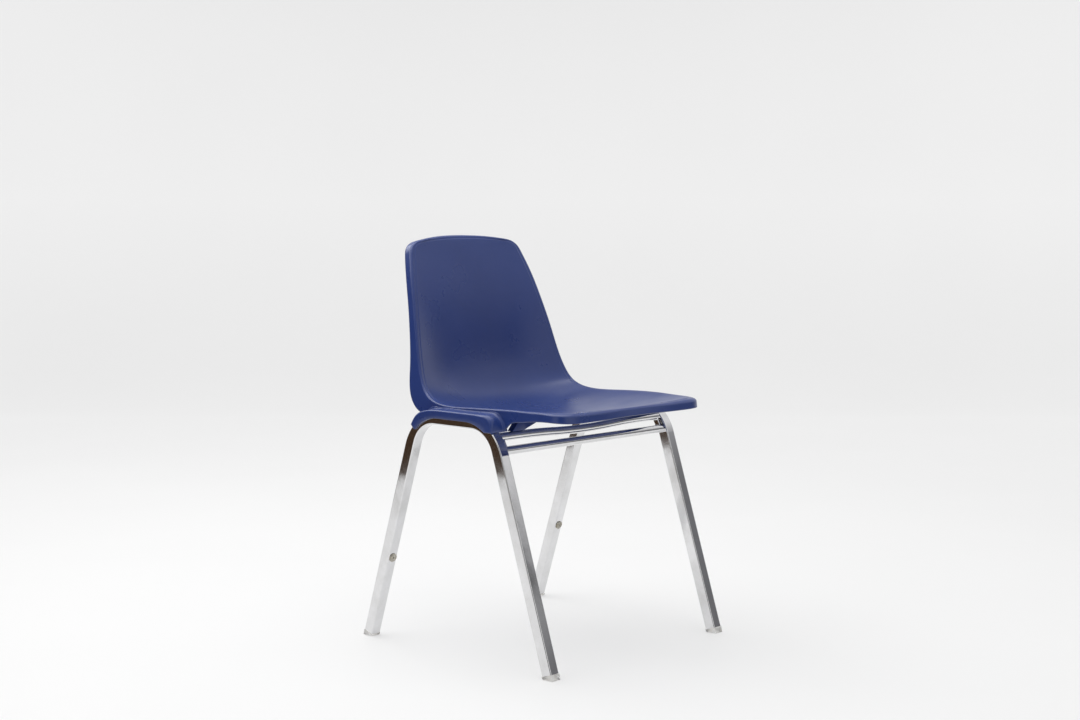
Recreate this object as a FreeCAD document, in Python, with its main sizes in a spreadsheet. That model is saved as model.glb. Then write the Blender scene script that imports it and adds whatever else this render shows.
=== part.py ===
import FreeCAD, Part
import math
import os
import re
import Sketcher
from FreeCAD import Placement, Rotation, Vector

# A stacking chair: two inverted-U side frames of chromed tube, tied by three round
# crossbars, carry a one-piece plastic shell whose side saddles hook over the tubes.
# Frame: +Z up, the floor is Z = 0, the chair faces -Y and the sitter's left is +X.

doc = FreeCAD.newDocument("stacking_chair")
sheet = doc.addObject("Spreadsheet::Sheet", "Dimensions")
sheet.Label = "Dimensions"

# Driving dimensions in millimetres and degrees.
DIMENSIONS = [
    ("frame_width", 500.0, "outside to outside of the two side frames"),
    ("leg_spread", 508.0, "front face to rear face of the legs, at the floor"),
    ("leg_rake", 17.8, "lean of each leg from the vertical, degrees"),
    ("tube_width", 22.0, "side frame tube, across the chair"),
    ("tube_depth", 23.0, "side frame tube, front to back"),
    ("tube_wall", 1.5, "wall of the side frame tube"),
    ("tube_corner", 2.4, "outside corner radius of the tube"),
    ("tube_top", 458.0, "top of the side frame"),
    ("bend_outer", 96.0, "outer radius of the bends, flattened by bending"),
    ("bend_inner", 55.0, "inner radius of the bends"),
    ("foot_height", 12.0, "outer edge of the cut tube end above the floor"),
    ("bar_diameter", 16.0, "crossbar tube"),
    ("bar_wall", 1.5, "wall of the crossbar tube"),
    ("lower_bar_y", -113.0, "front lower crossbar, centre"),
    ("lower_bar_z", 398.0, "front lower crossbar, centre"),
    ("upper_bar_y", -100.0, "front upper crossbar, centre"),
    ("upper_bar_z", 422.0, "front upper crossbar, centre at its ends"),
    ("upper_bar_dip", 4.5, "drop of the front upper crossbar at its middle"),
    ("rear_bar_y", 72.0, "rear crossbar, centre"),
    ("rear_bar_z", 439.0, "rear crossbar, centre at its ends"),
    ("rear_bar_dip", 10.0, "drop of the rear crossbar at its middle"),
    ("bar_end_run", 60.0, "straight run at each end of a dipped crossbar"),
    ("gusset_thickness", 4.0, "web plate between the two front bars"),
    ("gusset_inset", 6.0, "web plate, gap from the side frame"),
    ("gusset_depth", 10.0, "web plate, front to back"),
    ("fit", 0.3, "clearance between the shell or a plug and the tube"),
    ("plug_length", 22.0, "glide plug inside the tube"),
    ("glide_edge", 2.0, "rounding of the glide's sole"),
    ("buffer_height", 163.0, "stacking buffer above the floor"),
    ("buffer_diameter", 17.0, "stacking buffer"),
    ("buffer_thickness", 2.5, "stacking buffer, standing proud of the leg"),
    ("buffer_stem", 6.0, "stem of the buffer, pressed into the leg"),
    ("buffer_stem_length", 6.0, "length of the buffer's stem"),
    ("buffer_bore", 3.0, "blind bore in the face of the buffer"),
    ("screw_diameter", 5.0, "shell screw"),
    ("screw_hole", 5.4, "clearance hole for a shell screw"),
    ("screw_access", 10.5, "hole under the rear bar that lets a screw's head in"),
    ("screw_length", 12.0, "shell screw above its head"),
    ("screw_head_diameter", 9.0, "pan head"),
    ("screw_head_height", 3.4, "pan head"),
    ("screw_x", 172.0, "shell screws, from the middle"),
    ("shell_wall", 4.0, "thickness of the plastic shell"),
    ("front_roll", 12.0, "how far the front edge of the shell rolls outward"),
    ("side_roll", 7.0, "how far the sides of the shell roll outward"),
    ("top_roll", 5.0, "how far the top of the back rolls outward"),
    ("rim_draft", 1.5, "flare of the rim below its roll"),
    ("saddle_wall", 4.0, "thickness of the saddle's skirt"),
    ("saddle_cover", 10.5, "how far the saddle's skirt covers the tube's outer face"),
    ("saddle_rear_end", 46.0, "angle where the saddle ends on the rear bend, degrees"),
    ("saddle_front_low", 431.5, "level lower edge of the saddle's front end"),
    ("saddle_front_y", -107.0, "front face of the saddle"),
    ("saddle_front_corner", 20.0, "radius between the saddle's top and its front face"),
    ("saddle_scoop", 45.0, "that radius at the saddle's inner edge"),
    ("saddle_scoop_width", 34.0, "how far out from the inner edge the larger radius reaches"),
    ("saddle_rise", 5.8, "top of the saddle above the tube, on the level"),
    ("saddle_rear_bulge", 5.0, "extra thickness of the saddle round the rear bend"),
    ("saddle_root", 209.0, "inner edge of the saddle, from the middle"),
    ("saddle_round", 3.2, "rounding of the saddle's outer edge"),
    ("rib_thickness", 14.0, "ribs under the seat, front to back"),
    ("rib_x", 198.0, "outer end of the rib's foot, from the middle"),
    ("rib_foot", 30.0, "length of the rib's foot on the bar"),
    ("rib_lean", 26.0, "how far the rib's outer end leans inward at its top"),
    ("rib_toe", 114.0, "inner end of the rib under the panel, from the middle"),
    ("boss_diameter", 14.0, "screw bosses under the rear of the seat"),
]

# Sections across the shell, from the front edge of the seat to the top of the back:
# centre line (y, z), rim (y, z), half width and depth of the turned-down rim.
# A smooth curve joins the sections.
SECTIONS = [
    (-229.0, 471.0, -229.0, 472.0, 150.0, 19.0),
    (-227.5, 470.6, -227.0, 472.1, 172.0, 19.0),
    (-221.0, 468.8, -220.0, 472.4, 186.5, 19.0),
    (-208.0, 465.2, -208.0, 472.7, 194.5, 19.0),
    (-190.0, 460.5, -190.0, 473.0, 199.0, 19.3),
    (-160.0, 454.0, -160.0, 473.0, 205.0, 21.3),
    (-132.0, 449.2, -135.0, 473.3, 208.8, 24.6),
    (-109.0, 446.4, -114.0, 473.5, 211.5, 32.5),
    (-98.0, 445.4, -104.0, 473.4, 212.8, 42.0),
    (-82.0, 444.2, -90.0, 473.2, 214.6, 31.0),
    (-50.0, 442.0, -60.0, 472.5, 217.0, 19.0),
    (10.0, 441.0, -5.0, 470.5, 217.5, 17.0),
    (65.0, 444.0, 40.0, 469.5, 213.5, 19.0),
    (112.0, 455.0, 82.0, 474.0, 209.0, 31.0),
    (146.0, 478.0, 110.0, 487.0, 205.0, 44.0),
    (166.0, 512.0, 127.0, 510.0, 200.5, 40.0),
    (176.0, 550.0, 140.0, 542.0, 195.0, 29.0),
    (183.0, 600.0, 155.0, 594.0, 187.5, 21.0),
    (192.0, 655.0, 172.0, 652.0, 177.0, 18.5),
    (205.0, 712.0, 192.0, 712.0, 164.0, 18.5),
    (217.0, 758.0, 208.0, 754.0, 151.0, 18.5),
    (221.0, 773.0, 212.5, 766.5, 143.5, 18.5),
    (223.0, 779.5, 215.0, 773.5, 130.0, 18.5),
    (223.5, 782.0, 216.0, 776.5, 112.0, 18.5),
]
SECTION_FIELDS = ["centre_y", "centre_z", "rim_y", "rim_z", "half_width", "rim_depth"]


def fill_sheet():
    """Write every driving dimension as a plain number with a word for its alias."""
    rows = list(DIMENSIONS)
    for number, section in enumerate(SECTIONS):
        for field, value in zip(SECTION_FIELDS, section):
            rows.append((f"shell_{number:02d}_{field}", value, "shell section"))
    for row, (alias, value, note) in enumerate(rows, start=1):
        sheet.set(f"A{row}", alias)
        sheet.set(f"B{row}", str(value))
        sheet.set(f"C{row}", note)
        sheet.setAlias(f"B{row}", alias)
    doc.recompute()


def size(alias):
    """A number from the sheet."""
    return float(getattr(sheet, alias))


def bind(thing, path, expression):
    """Bind a property or a named constraint to an expression of the sheet's cells."""
    words = "|".join(name for name, _, _ in DIMENSIONS)
    thing.setExpression(path, re.sub(rf"\b({words})\b", r"Dimensions.\1", expression))


def new_body(label):
    body = doc.addObject("PartDesign::Body", label)
    body.Label = label
    return body


def new_sketch(body, role, name):
    """A sketch on one of the body's own origin planes."""
    sketch = body.newObject("Sketcher::SketchObject", name)
    plane = [item for item in body.Origin.OriginFeatures if item.Role == role][0]
    sketch.AttachmentSupport = [(plane, "")]
    sketch.MapMode = "FlatFace"
    return sketch


def constrain(sketch, *constraint):
    return sketch.addConstraint(Sketcher.Constraint(*constraint))


def named(sketch, name, expression, *constraint):
    """Add a dimensional constraint, name it and bind it to the sheet."""
    sketch.renameConstraint(constrain(sketch, *constraint), name)
    bind(sketch, f"Constraints.{name}", expression)


def line(sketch, start, end):
    return sketch.addGeometry(Part.LineSegment(Vector(*start, 0), Vector(*end, 0)), False)


def arc(sketch, centre, radius, start, end):
    """An arc that runs counter-clockwise between two angles in radians."""
    circle = Part.Circle(Vector(*centre, 0), Vector(0, 0, 1), radius)
    return sketch.addGeometry(Part.ArcOfCircle(circle, start, end), False)


def pad(body, sketch, name, length):
    """A pad to both sides of its sketch."""
    feature = body.newObject("PartDesign::Pad", name)
    feature.Profile = sketch
    feature.Midplane = True
    bind(feature, "Length", length)
    return feature


def cylinder(body, kind, name, radius, height, place):
    """An additive or subtractive cylinder of a body."""
    feature = body.newObject(f"PartDesign::{kind}Cylinder", name)
    bind(feature, "Radius", radius)
    bind(feature, "Height", height)
    feature.Placement = place
    return feature


# ---------------------------------------------------------------- side frames

def leg_line_y(height, inset=0.0):
    """Y of the rear leg's outer line at a height, moved in by an inset."""
    rake = math.radians(size("leg_rake"))
    return size("leg_spread") / 2 - height * math.tan(rake) - inset / math.cos(rake)


def bend_centre(top, inset, radius):
    """Centre (y, z) of the rear bend that joins a level top to the leg."""
    turn = math.pi / 2 - math.radians(size("leg_rake"))
    return leg_line_y(top, inset) - radius * math.tan(turn / 2), top - radius


def bent_line(sketch, top, inset, radius, foot):
    """Front leg, front bend, top, rear bend and rear leg, tangent to each other."""
    rake = math.radians(size("leg_rake"))
    y, z = bend_centre(top, inset, radius)
    joint = (y + radius * math.cos(rake), z + radius * math.sin(rake))
    front_leg = line(sketch, (-foot[0], foot[1]), (-joint[0], joint[1]))
    front_bend = arc(sketch, (-y, z), radius, math.pi / 2, math.pi - rake)
    level = line(sketch, (-y, top), (y, top))
    rear_bend = arc(sketch, (y, z), radius, rake, math.pi / 2)
    rear_leg = line(sketch, joint, foot)
    constrain(sketch, "Tangent", front_leg, 2, front_bend, 2)
    constrain(sketch, "Tangent", front_bend, 1, level, 1)
    constrain(sketch, "Tangent", level, 2, rear_bend, 2)
    constrain(sketch, "Tangent", rear_bend, 1, rear_leg, 1)
    constrain(sketch, "Horizontal", level)
    return front_leg, front_bend, level, rear_bend, rear_leg


def tube_outline(sketch, walls, extra):
    """Side view of the bent tube, or of its hollow.

    walls is 0 for the outside and 1 for the hollow; extra lengthens both legs."""
    rake = math.radians(size("leg_rake"))
    wall = walls * size("tube_wall")
    depth = size("tube_depth") - 2 * wall
    foot_z = size("foot_height") - extra
    foot = (leg_line_y(foot_z, wall), foot_z)
    inner_foot = (foot[0] - depth * math.cos(rake), foot[1] - depth * math.sin(rake))
    outer = bent_line(sketch, size("tube_top") - wall, wall, size("bend_outer") - wall, foot)
    inner = bent_line(sketch, size("tube_top") - wall - depth, wall + depth,
                      size("bend_inner") + wall, inner_foot)
    front_end = line(sketch, (-foot[0], foot[1]), (-inner_foot[0], inner_foot[1]))
    rear_end = line(sketch, foot, inner_foot)

    wall_text = f"{walls} * tube_wall"
    depth_text = f"tube_depth - 2 * {wall_text}"
    foot_z_text = f"foot_height - {extra}"
    foot_y_text = (f"leg_spread / 2 - ({foot_z_text}) * tan(leg_rake * 1 deg)"
                   f" - {wall_text} / cos(leg_rake * 1 deg)")
    named(sketch, "top", f"tube_top - {wall_text}",
          "DistanceY", -1, 1, outer[2], 1, size("tube_top") - wall)
    named(sketch, "level_depth", depth_text, "DistanceY", inner[2], 1, outer[2], 1, depth)
    for tag, index in (("front", 1), ("rear", 3)):
        named(sketch, f"{tag}_outer_bend", f"bend_outer - {wall_text}",
              "Radius", outer[index], size("bend_outer") - wall)
        named(sketch, f"{tag}_inner_bend", f"bend_inner + {wall_text}",
              "Radius", inner[index], size("bend_inner") + wall)
    named(sketch, "front_foot_y", foot_y_text, "DistanceX", outer[0], 1, -1, 1, foot[0])
    named(sketch, "rear_foot_y", foot_y_text, "DistanceX", -1, 1, outer[4], 2, foot[0])
    named(sketch, "front_foot_z", foot_z_text, "DistanceY", -1, 1, outer[0], 1, foot[1])
    named(sketch, "rear_foot_z", foot_z_text, "DistanceY", -1, 1, outer[4], 2, foot[1])
    lean = math.pi / 2 - rake
    named(sketch, "front_lean", "(90 - leg_rake) * 1 deg", "Angle", outer[0], lean)
    named(sketch, "rear_lean", "(leg_rake - 90) * 1 deg", "Angle", outer[4], -lean)
    for tag, leg, inner_leg, end, point in (("front", outer[0], inner[0], front_end, 1),
                                            ("rear", outer[4], inner[4], rear_end, 2)):
        constrain(sketch, "Coincident", leg, point, end, 1)
        constrain(sketch, "Coincident", inner_leg, point, end, 2)
        constrain(sketch, "Parallel", leg, inner_leg)
        constrain(sketch, "Perpendicular", end, leg)
        named(sketch, f"{tag}_depth", depth_text, "Distance", end, 1, end, 2, depth)


def on_side(feature, side):
    """Names of the long edges along a flat side of the tube, at x = side."""
    found = []
    for number, edge in enumerate(feature.Shape.Edges, start=1):
        box = edge.BoundBox
        long_enough = edge.Length > size("tube_depth") + 1.0
        if long_enough and abs(box.XMin - side) < 0.01 and abs(box.XMax - side) < 0.01:
            found.append(f"Edge{number}")
    return found


def make_side_frame(label, side):
    """One bent tube: an inverted U whose two legs lean out to the front and rear."""
    body = new_body(label)
    outside = new_sketch(body, "YZ_Plane", f"{label}_outside")
    tube_outline(outside, 0, 0.0)
    solid = pad(body, outside, f"{label}_tube", "tube_width")
    doc.recompute()
    corners = body.newObject("PartDesign::Fillet", f"{label}_corners")
    half = size("tube_width") / 2
    corners.Base = (solid, on_side(solid, half) + on_side(solid, -half))
    bind(corners, "Radius", "tube_corner")
    doc.recompute()
    before = body.Shape.Volume
    inside = new_sketch(body, "YZ_Plane", f"{label}_inside")
    tube_outline(inside, 1, 4.0)
    hollow = body.newObject("PartDesign::Pocket", f"{label}_hollow")
    hollow.Profile = inside
    hollow.Midplane = True
    bind(hollow, "Length", "tube_width - 2 * tube_wall")
    doc.recompute()
    if body.Shape.Volume > 0.4 * before:
        raise RuntimeError(f"{label}: the tube is not hollow")
    cylinder(body, "Subtractive", f"{label}_buffer_hole", "buffer_stem / 2", "tube_wall + 2",
             buffer_place(0.0, 1.0))
    body.Placement = Placement(Vector(side * (size("frame_width") - size("tube_width")) / 2, 0, 0),
                               Rotation())
    return body


def buffer_place(x, lift):
    """On the front face of the rear leg, with +Z pointing into the leg; lift backs it off."""
    rake = math.radians(size("leg_rake"))
    height = size("buffer_height")
    out = Vector(0, -math.cos(rake), -math.sin(rake))
    face = Vector(x, leg_line_y(height, size("tube_depth")), height)
    return Placement(face + out * lift, Rotation(Vector(0, 0, 1), -out))


# ------------------------------------------------------------------ crossbars

def ring(sketch, y, z):
    """Section of a crossbar tube: two circles about (y, z)."""
    outer = size("bar_diameter") / 2
    inner = outer - size("bar_wall")
    for tag, radius, text in (("outer", outer, "bar_diameter / 2"),
                              ("inner", inner, "bar_diameter / 2 - bar_wall")):
        circle = sketch.addGeometry(Part.Circle(Vector(0, 0, 0), Vector(0, 0, 1), radius), False)
        constrain(sketch, "Coincident", circle, 3, -1, 1)
        named(sketch, f"{tag}_radius", text, "Radius", circle, radius)
    bind(sketch, ".AttachmentOffset.Base.x", y)
    bind(sketch, ".AttachmentOffset.Base.y", z)


def drill_bar(body):
    """Holes for the two shell screws: clearance above, room for the head below."""
    for tag, side in (("left", 1), ("right", -1)):
        for name, width, lift in (("screw_hole", "screw_hole", 0.0),
                                  ("screw_access", "screw_access", -size("bar_diameter"))):
            at = Vector(side * size("screw_x"), size("rear_bar_y"), size("rear_bar_z") + lift)
            cylinder(body, "Subtractive", f"{tag}_{name}", f"{width} / 2", "bar_diameter",
                     Placement(at, Rotation()))


def make_straight_bar(label, y, z):
    body = new_body(label)
    section = new_sketch(body, "YZ_Plane", f"{label}_section")
    ring(section, y, z)
    pad(body, section, f"{label}_tube", "frame_width - 2 * tube_width")
    return body


def make_dipped_bar(label, y, z, dip):
    """A bar that is level at its ends and drops a little towards its middle."""
    body = new_body(label)
    half = size("frame_width") / 2 - size("tube_width")
    start = half - size("bar_end_run")
    rise = size(dip)
    radius = (start ** 2 + rise ** 2) / (4 * rise)
    turn = math.asin(start / 2 / radius)
    path = new_sketch(body, "XZ_Plane", f"{label}_path")
    left_run = line(path, (-half, 0), (-start, 0))
    left_arc = arc(path, (-start, -radius), radius, math.pi / 2 - turn, math.pi / 2)
    middle = arc(path, (0, radius - rise), radius, 1.5 * math.pi - turn, 1.5 * math.pi + turn)
    right_arc = arc(path, (start, -radius), radius, math.pi / 2, math.pi / 2 + turn)
    right_run = line(path, (start, 0), (half, 0))
    constrain(path, "Tangent", left_run, 2, left_arc, 2)
    constrain(path, "Tangent", left_arc, 1, middle, 1)
    constrain(path, "Tangent", middle, 2, right_arc, 2)
    constrain(path, "Tangent", right_arc, 1, right_run, 1)
    constrain(path, "Horizontal", left_run)
    constrain(path, "Horizontal", right_run)
    constrain(path, "Equal", left_arc, middle)
    constrain(path, "Equal", right_arc, middle)
    constrain(path, "PointOnObject", left_run, 1, -1)
    constrain(path, "PointOnObject", middle, 3, -2)
    reach = "frame_width / 2 - tube_width"
    named(path, "left_end", reach, "DistanceX", left_run, 1, -1, 1, half)
    named(path, "right_end", reach, "DistanceX", -1, 1, right_run, 2, half)
    named(path, "left_length", "bar_end_run", "Distance", left_run, 1, left_run, 2, half - start)
    named(path, "bend", f"((frame_width / 2 - tube_width - bar_end_run)^2 + {dip}^2) / (4 * {dip})",
          "Radius", middle, radius)
    bind(path, ".AttachmentOffset.Base.y", z)
    bind(path, ".AttachmentOffset.Base.z", f"-{y}")
    section = new_sketch(body, "YZ_Plane", f"{label}_section")
    ring(section, y, z)
    bind(section, ".AttachmentOffset.Base.z", f"-({reach})")
    doc.recompute()
    pipe = body.newObject("PartDesign::AdditivePipe", f"{label}_tube")
    pipe.Profile = section
    pipe.Spine = path
    doc.recompute()
    return body


def make_gusset(label, side):
    """A small upright plate welded between the two front bars beside the side frame."""
    body = new_body(label)
    low = Vector(size("lower_bar_y"), size("lower_bar_z"), 0)
    high = Vector(size("upper_bar_y"), size("upper_bar_z"), 0)
    along = (high - low).normalize()
    across = Vector(along.y, -along.x, 0) * (size("gusset_depth") / 2)
    sketch = new_sketch(body, "YZ_Plane", f"{label}_plate")
    corners = [low - across, high - across, high + across, low + across]
    sides = []
    for number, corner in enumerate(corners):
        following = corners[(number + 1) % 4]
        sides.append(line(sketch, (corner.x, corner.y), (following.x, following.y)))
    for number in range(4):
        constrain(sketch, "Coincident", sides[number], 2, sides[(number + 1) % 4], 1)
    for number in range(3):
        constrain(sketch, "Perpendicular", sides[number], sides[number + 1])
    centre = line(sketch, (low.x, low.y), (high.x, high.y))
    sketch.toggleConstruction(centre)
    constrain(sketch, "Symmetric", sides[3], 2, sides[3], 1, centre, 1)
    constrain(sketch, "Symmetric", sides[1], 1, sides[1], 2, centre, 2)
    named(sketch, "depth", "gusset_depth", "Distance", sides[1], 1, sides[1], 2,
          size("gusset_depth"))
    named(sketch, "low_y", "-lower_bar_y", "DistanceX", centre, 1, -1, 1, -low.x)
    named(sketch, "low_z", "lower_bar_z", "DistanceY", -1, 1, centre, 1, low.y)
    named(sketch, "high_y", "-upper_bar_y", "DistanceX", centre, 2, -1, 1, -high.x)
    named(sketch, "high_z", "upper_bar_z", "DistanceY", -1, 1, centre, 2, high.y)
    pad(body, sketch, f"{label}_web", "gusset_thickness")
    doc.recompute()
    for tag, centre_point in (("lower", low), ("upper", high)):
        at = Vector(-size("gusset_depth"), centre_point.x, centre_point.y)
        cylinder(body, "Subtractive", f"{label}_{tag}_seat", "bar_diameter / 2",
                 "2 * gusset_depth", Placement(at, Rotation(Vector(0, 0, 1), Vector(1, 0, 0))))
    inner_face = size("frame_width") / 2 - size("tube_width")
    body.Placement = Placement(Vector(side * (inner_face - size("gusset_inset")), 0, 0), Rotation())
    return body


# --------------------------------------------------------------- small fittings

def make_glide(label, side, rear):
    """A clear glide: a sole shaped to the raked tube end and a plug inside the tube."""
    body = new_body(label)
    rake = math.radians(size("leg_rake"))
    height = size("foot_height")
    depth = size("tube_depth")
    outer_top = (leg_line_y(height), height)
    inner_top = (outer_top[0] - depth * math.cos(rake), height - depth * math.sin(rake))
    outer_low = (size("leg_spread") / 2, 0.0)
    inner_low = (outer_low[0] - depth / math.cos(rake), 0.0)
    sole = new_sketch(body, "YZ_Plane", f"{label}_sole_side")
    floor_line = line(sole, inner_low, outer_low)
    outer_line = line(sole, outer_low, outer_top)
    top_line = line(sole, outer_top, inner_top)
    inner_line = line(sole, inner_top, inner_low)
    ring_of_lines = [floor_line, outer_line, top_line, inner_line]
    for number in range(4):
        constrain(sole, "Coincident", ring_of_lines[number], 2, ring_of_lines[(number + 1) % 4], 1)
    constrain(sole, "PointOnObject", floor_line, 1, -1)
    constrain(sole, "Horizontal", floor_line)
    constrain(sole, "Parallel", outer_line, inner_line)
    constrain(sole, "Perpendicular", outer_line, top_line)
    named(sole, "spread", "leg_spread / 2", "DistanceX", -1, 1, floor_line, 2, outer_low[0])
    named(sole, "foot", "foot_height", "DistanceY", -1, 1, outer_line, 2, height)
    named(sole, "depth", "tube_depth", "Distance", top_line, 1, top_line, 2, depth)
    named(sole, "lean", "(90 + leg_rake) * 1 deg", "Angle", outer_line, math.pi / 2 + rake)
    block = pad(body, sole, f"{label}_sole", "tube_width")
    doc.recompute()
    low_edges = []
    for number, edge in enumerate(body.Shape.Edges, start=1):
        if edge.BoundBox.ZMax < 0.01:
            low_edges.append(f"Edge{number}")
    rounding = body.newObject("PartDesign::Fillet", f"{label}_rounding")
    rounding.Base = (block, low_edges)
    bind(rounding, "Radius", "glide_edge")
    doc.recompute()
    plug = body.newObject("PartDesign::AdditiveBox", f"{label}_plug")
    gap = size("tube_wall") + size("fit")
    bind(plug, "Length", "tube_width - 2 * (tube_wall + fit)")
    bind(plug, "Width", "tube_depth - 2 * (tube_wall + fit)")
    bind(plug, "Height", "plug_length + fit")
    tilt = Rotation(Vector(1, 0, 0), size("leg_rake"))
    corner = Vector(0, inner_top[0], inner_top[1])
    corner += tilt.multVec(Vector(gap - size("tube_width") / 2, gap, -size("fit")))
    plug.Placement = Placement(corner, tilt)
    turn = Rotation(Vector(0, 0, 1), 0 if rear else 180)
    body.Placement = Placement(Vector(side * (size("frame_width") - size("tube_width")) / 2, 0, 0),
                               turn)
    return body


def round_edges(body, name, chosen, radius):
    """Fillet the edges of a body that a test picks."""
    doc.recompute()
    base = body.Tip
    edges = [f"Edge{n}" for n, edge in enumerate(base.Shape.Edges, start=1) if chosen(edge)]
    rounding = body.newObject("PartDesign::Fillet", name)
    rounding.Base = (base, edges)
    bind(rounding, "Radius", radius)
    doc.recompute()


def make_buffer(label, side):
    """A stacking buffer pressed into the front face of a rear leg."""
    body = new_body(label)
    low = -size("buffer_thickness")
    cylinder(body, "Additive", f"{label}_disc", "buffer_diameter / 2", "buffer_thickness",
             Placement(Vector(0, 0, low), Rotation()))
    round_edges(body, f"{label}_round", lambda edge: abs(edge.BoundBox.ZMax - low) < 0.01,
                "buffer_thickness / 3")
    cylinder(body, "Additive", f"{label}_stem", "buffer_stem / 2", "buffer_stem_length",
             Placement())
    doc.recompute()
    cylinder(body, "Subtractive", f"{label}_bore", "buffer_bore / 2", "buffer_thickness",
             Placement(Vector(0, 0, low - 0.5), Rotation()))
    body.Placement = buffer_place(side * (size("frame_width") - size("tube_width")) / 2, 0.0)
    return body


def seat_of_screw():
    """Height where a screw's head meets the inside of the rear bar."""
    inside = size("bar_diameter") / 2 - size("bar_wall")
    half = size("screw_head_diameter") / 2
    return size("rear_bar_z") + math.sqrt(inside ** 2 - half ** 2) - 0.05


def make_screw(label, side):
    """A pan-head screw with a hexagon socket, driven up from inside the rear bar."""
    body = new_body(label)
    cylinder(body, "Additive", f"{label}_head", "screw_head_diameter / 2", "screw_head_height",
             Placement(Vector(0, 0, -size("screw_head_height")), Rotation()))
    low = -size("screw_head_height")
    round_edges(body, f"{label}_round", lambda edge: abs(edge.BoundBox.ZMax - low) < 0.01,
                "screw_head_height / 3")
    cylinder(body, "Additive", f"{label}_shank", "screw_diameter / 2", "screw_length", Placement())
    doc.recompute()
    socket = body.newObject("PartDesign::SubtractivePrism", f"{label}_socket")
    socket.Polygon = 6
    bind(socket, "Circumradius", "screw_diameter / 3")
    bind(socket, "Height", "screw_head_height / 2")
    socket.Placement = Placement(Vector(0, 0, low), Rotation())
    body.Placement = Placement(Vector(side * size("screw_x"), size("rear_bar_y"), seat_of_screw()),
                               Rotation())
    return body


# ----------------------------------------------------------------------- shell

ACROSS = 17     # points in each row of the shell's surface
DISH = 2.4      # how flat the middle of a section is


def station_parameters():
    """Distance from section to section, averaged over the centre line and the rim."""
    total = [0.0]
    for before, after in zip(SECTIONS, SECTIONS[1:]):
        middle = math.hypot(after[0] - before[0], after[1] - before[1])
        side = math.dist(after[2:5], before[2:5])
        total.append(total[-1] + (middle + side) / 2)
    return total


def section_curve(fields):
    """A smooth curve through one pair of values of every section."""
    points = []
    for number in range(len(SECTIONS)):
        first, second = [size(f"shell_{number:02d}_{field}") for field in fields]
        points.append(Vector(first, second, 0))
    curve = Part.BSplineCurve()
    curve.interpolate(Points=points, Parameters=station_parameters())
    return curve


def shell_rows():
    """Points of the shell's upper face, in rows that run across, and each row's rim depth."""
    centre = section_curve(("centre_y", "centre_z"))
    rim = section_curve(("rim_y", "rim_z"))
    edge = section_curve(("half_width", "rim_depth"))
    length = station_parameters()
    places = list(length)
    for before, after in zip(length, length[1:]):
        if after - before > 30:
            places.append((before + after) / 2)
    rows = []
    depths = []
    for place in sorted(places):
        middle = centre.value(place)
        side = rim.value(place)
        width, depth = edge.value(place).x, edge.value(place).y
        row = []
        for number in range(ACROSS):
            even = 2 * number / (ACROSS - 1) - 1
            u = 0.5 * even + 0.5 * math.sin(even * math.pi / 2)
            rise = abs(u) ** DISH
            row.append(Vector(width * u, middle.x + (side.x - middle.x) * rise,
                              middle.y + (side.y - middle.y) * rise))
        rows.append(row)
        depths.append(depth)
    return rows, depths


def normals_of(rows):
    """Unit normals of the surface's points, up and to the front.

    The change of width along the shell is left out, so they stay even in the corners."""
    found = []
    last_row = len(rows) - 1
    last = ACROSS - 1
    for i in range(len(rows)):
        row_normals = []
        for j in range(ACROSS):
            along = rows[min(i + 1, last_row)][j] - rows[max(i - 1, 0)][j]
            along.x = 0.0
            across = rows[i][min(j + 1, last)] - rows[i][max(j - 1, 0)]
            row_normals.append(across.cross(along).normalize())
        found.append(row_normals)
    return found


def boundary_of(rows):
    """Grid places of the four sides of the surface, in order round it."""
    last_row = len(rows) - 1
    last = len(rows[0]) - 1
    front = [(0, j) for j in range(last + 1)]
    left = [(i, last) for i in range(last_row + 1)]
    top = [(last_row, j) for j in range(last, -1, -1)]
    right = [(i, 0) for i in range(last_row, -1, -1)]
    return [front, left, top, right]


def spline(points):
    curve = Part.BSplineCurve()
    curve.interpolate(Points=points)
    return curve.toShape()


def border(surface):
    """Edges of a surface's four sides, in the order and direction of boundary_of."""
    first_u, last_u, first_v, last_v = surface.bounds()
    curves = [surface.uIso(first_u), surface.vIso(last_v), surface.uIso(last_u),
              surface.vIso(first_v)]
    curves[2].reverse()
    curves[3].reverse()
    return [curve.toShape() for curve in curves]


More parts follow.
